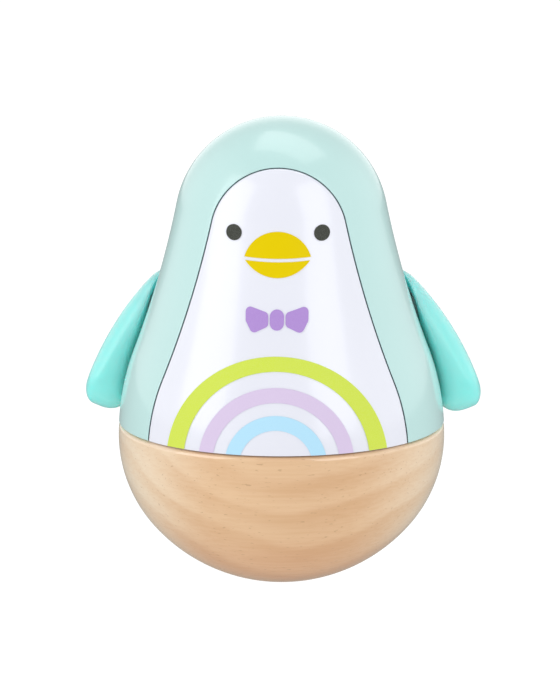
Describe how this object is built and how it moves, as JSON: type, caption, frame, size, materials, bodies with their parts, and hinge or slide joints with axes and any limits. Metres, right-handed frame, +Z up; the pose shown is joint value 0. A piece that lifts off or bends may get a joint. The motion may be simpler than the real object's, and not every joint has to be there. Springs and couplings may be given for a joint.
{
  "type": "roly poly toy",
  "caption": "Penguin-shaped roly poly baby toy: weighted turned-wood base, glossy plastic body with a printed front panel, swinging wings and a chime inside.",
  "frame": {"origin": "on the floor, under the middle of the toy", "axes": "+Z up through the head, the face looks along -Y, +X to the viewer's right"},
  "size_m": [0.1054, 0.086, 0.1228],
  "materials": {
    "beech_wood": "turned, clear lacquer",
    "mint_plastic": "glossy moulding",
    "white_plastic": "glossy moulding",
    "turquoise_plastic": "satin moulding",
    "grey_plastic": "as moulded",
    "steel": "bright",
    "iron": "as cast",
    "dark_ink": "printed",
    "yellow_ink": "printed",
    "purple_ink": "printed",
    "green_ink": "printed",
    "lilac_ink": "printed",
    "blue_ink": "printed"
  },
  "bodies": {
    "body": {"wooden_base": "beech_wood", "counterweight": "iron", "weight_screws": "steel", "chassis_plate": "grey_plastic", "chassis_screws": "steel", "back_shell": "mint_plastic", "front_panel": "white_plastic", "shell_screws": "steel", "chime_plate": "grey_plastic", "chime_screws": "steel", "chime_bridge": "grey_plastic", "bridge_screws": "steel", "hanger_pin": "steel", "print_eyes": "dark_ink", "print_beak": "yellow_ink", "print_bow_tie": "purple_ink", "print_rainbow_outer": "green_ink", "print_rainbow_middle": "lilac_ink", "print_rainbow_inner": "blue_ink", "tone_rod_1": "steel", "tone_rod_2": "steel", "tone_rod_3": "steel", "tone_rod_4": "steel", "tone_rod_5": "steel", "tone_rod_6": "steel", "tone_rod_7": "steel", "tone_rod_8": "steel"},
    "wing_left": {"wing_left": "turquoise_plastic", "wing_washer_left": "grey_plastic", "wing_screw_left": "steel"},
    "wing_right": {"wing_right": "turquoise_plastic", "wing_washer_right": "grey_plastic", "wing_screw_right": "steel"},
    "hanger": {"swing_hanger": "iron", "clapper_pin": "steel"},
    "clapper": {"clapper_stem": "steel", "clapper_bob": "beech_wood"}
  },
  "joints": [
    {"name": "wing_left_swing", "type": "hinge", "parent": "body", "child": "wing_left", "pos_m": [-0.03317, 0.01078, 0.0722], "axis": [-0.9027, 0.2933, 0.3147], "range_deg": [-40, 40]},
    {"name": "wing_right_swing", "type": "hinge", "parent": "body", "child": "wing_right", "pos_m": [0.03317, 0.01078, 0.0722], "axis": [0.9027, 0.2933, 0.3147], "range_deg": [-40, 40]},
    {"name": "hanger_swing", "type": "hinge", "parent": "body", "child": "hanger", "pos_m": [0, 0, 0.09295], "axis": [0, 1, 0], "range_deg": [-11, 11]},
    {"name": "clapper_swing", "type": "hinge", "parent": "hanger", "child": "clapper", "pos_m": [0, 0, 0.08365], "axis": [1, 0, 0], "range_deg": [-16, 16]}
  ]
}
